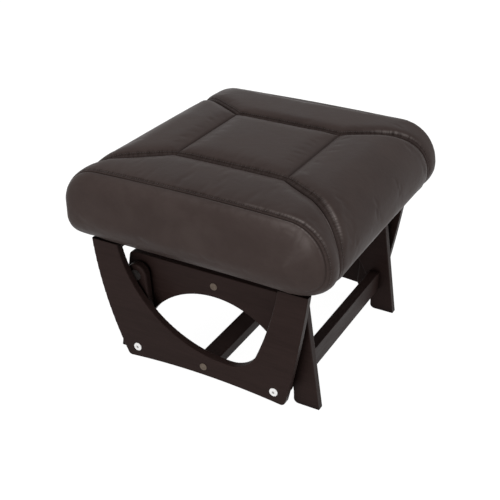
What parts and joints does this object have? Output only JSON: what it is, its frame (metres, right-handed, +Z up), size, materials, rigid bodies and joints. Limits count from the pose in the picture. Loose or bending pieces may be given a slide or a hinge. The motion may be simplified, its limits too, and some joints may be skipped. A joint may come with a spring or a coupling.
{
  "type": "glider ottoman",
  "caption": "Upholstered footstool whose cushion glides to and fro on four swing links hung from an arched wooden base.",
  "frame": {"origin": "on the floor under the middle of the cushion", "axes": "+X along the glide, towards the steep side of the bowl; +Y from the near side to the far side; +Z up"},
  "size_m": [0.5344, 0.54, 0.409],
  "materials": {
    "stained_wood": "satin dark stain over fine grain",
    "dowel_beech": "raw beech",
    "plywood": "raw plywood",
    "leather": "semi-matte dark brown upholstery leather",
    "foam": "open-cell upholstery foam",
    "dust_cloth": "black non-woven cloth",
    "steel": "zinc plated",
    "black_steel": "black oxide",
    "bronze_cap": "bronze-brown moulded plastic",
    "white_cap": "white moulded plastic",
    "nylon": "black nylon"
  },
  "bodies": {
    "base": {"base_side_near": "stained_wood", "base_side_far": "stained_wood", "base_top_rail": "stained_wood", "base_stretcher_left": "stained_wood", "base_stretcher_right": "stained_wood", "stretcher_dowels": "dowel_beech", "base_rail_screws": "steel", "base_rail_caps": "bronze_cap", "upper_pivot_barrels": "black_steel", "upper_pivot_washers": "black_steel", "upper_pivot_screws": "steel"},
    "left_links": {"link_left_near": "stained_wood", "link_left_far": "stained_wood", "left_upper_bushes": "nylon", "left_lower_bushes": "nylon"},
    "right_links": {"link_right_near": "stained_wood", "link_right_far": "stained_wood", "right_upper_bushes": "nylon", "right_lower_bushes": "nylon"},
    "seat": {"seat_side_near": "stained_wood", "seat_side_far": "stained_wood", "seat_low_rail": "stained_wood", "seat_bearer_left": "stained_wood", "seat_bearer_right": "stained_wood", "bearer_dowels": "dowel_beech", "cushion_board": "plywood", "cushion_cover": "leather", "cushion_foam": "foam", "dust_cover": "dust_cloth", "seat_rail_screws": "steel", "lower_pivot_screws": "steel", "cushion_screws": "steel", "lower_pivot_barrels": "black_steel", "lower_pivot_washers": "black_steel", "seat_rail_caps": "bronze_cap", "pivot_caps": "white_cap"}
  },
  "joints": [
    {"name": "left_swing", "type": "hinge", "parent": "base", "child": "left_links", "pos_m": [-0.146, 0, 0.192], "axis": [0, -1, 0], "range_deg": [-18, 18]},
    {"name": "seat_pivot", "type": "hinge", "parent": "left_links", "child": "seat", "pos_m": [-0.137, 0, 0.045], "axis": [0, -1, 0], "range_deg": [-19.2, 19.2]},
    {"name": "right_swing", "type": "hinge", "parent": "base", "child": "right_links", "pos_m": [0.166, 0, 0.192], "axis": [0, -1, 0], "range_deg": [-18, 18]}
  ],
  "couplings": [
    {"joint": "seat_pivot", "follows": "left_swing", "ratio": -1.06},
    {"joint": "right_swing", "follows": "left_swing", "ratio": 1}
  ]
}
